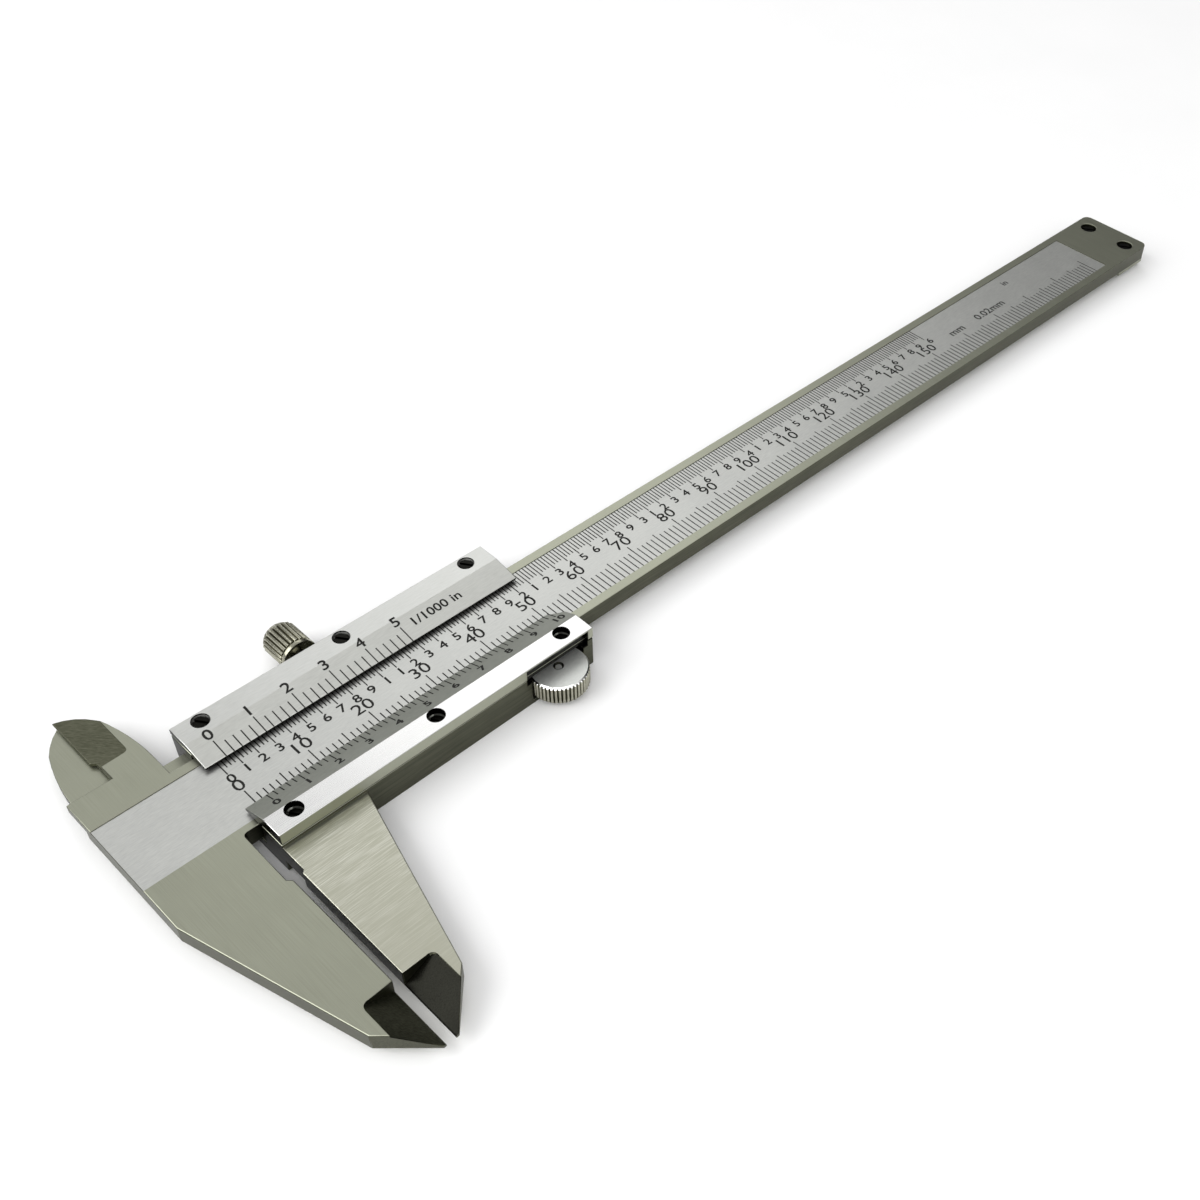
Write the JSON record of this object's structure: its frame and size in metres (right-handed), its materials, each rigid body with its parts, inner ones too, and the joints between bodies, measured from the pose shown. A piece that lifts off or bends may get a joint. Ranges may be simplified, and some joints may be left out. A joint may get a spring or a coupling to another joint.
{
  "type": "vernier caliper",
  "caption": "Vernier caliper with outside and inside jaws, a depth blade, a thumb roller and a knurled lock screw, and with millimetre and inch verniers on a sliding body.",
  "frame": {"origin": "the middle of the part's box at rest, on the surface it lies on; the fixed outside jaw's measuring face is at X = -104.2 mm and the beam's centreline at Y = 10.45 mm", "axes": "+X along the beam from the jaws to the far end, +Y across the beam towards the inside jaws, +Z out of the scale face"},
  "size_m": [0.2364, 0.0764, 0.0078],
  "materials": {
    "hardened_steel": "ground",
    "satin_steel": "satin",
    "nickel_knurl": "bright",
    "blackened_screw": "blackened",
    "phosphor_bronze": "rolled"
  },
  "bodies": {
    "frame": {"beam": "hardened_steel", "end_stop": "satin_steel", "end_stop_screw_1": "blackened_screw", "end_stop_screw_2": "blackened_screw"},
    "slider": {"slider_body": "hardened_steel", "upper_vernier_plate": "satin_steel", "lower_vernier_plate": "satin_steel", "upper_plate_screw_1": "blackened_screw", "upper_plate_screw_2": "blackened_screw", "upper_plate_screw_3": "blackened_screw", "lower_plate_screw_1": "blackened_screw", "lower_plate_screw_2": "blackened_screw", "lower_plate_screw_3": "blackened_screw", "gib_strip": "phosphor_bronze", "gib_screw_1": "blackened_screw", "gib_screw_2": "blackened_screw", "roller_pin": "nickel_knurl", "depth_blade": "satin_steel", "blade_rivet_1": "nickel_knurl", "blade_rivet_2": "nickel_knurl"},
    "roller": {"thumb_roller": "nickel_knurl"},
    "clamp": {"lock_screw": "nickel_knurl"}
  },
  "joints": [
    {"name": "slider_travel", "type": "slide", "parent": "frame", "child": "slider", "axis": [1, 0, 0], "range_m": [-0.0014, 0.1486]},
    {"name": "roller_spin", "type": "hinge", "parent": "slider", "child": "roller", "pos_m": [-0.0553, -0.0025, 0.00275], "axis": [0, 0, 1], "range_deg": [-17.3, 1831.1]},
    {"name": "lock_screw_turn", "type": "hinge", "parent": "slider", "child": "clamp", "pos_m": [-0.08065, 0.0288, 0.0036], "axis": [0, 1, 0], "range_deg": [-45, 360]}
  ],
  "couplings": [
    {"joint": "roller_spin", "follows": "slider_travel", "rad_per_m": 215.05}
  ]
}
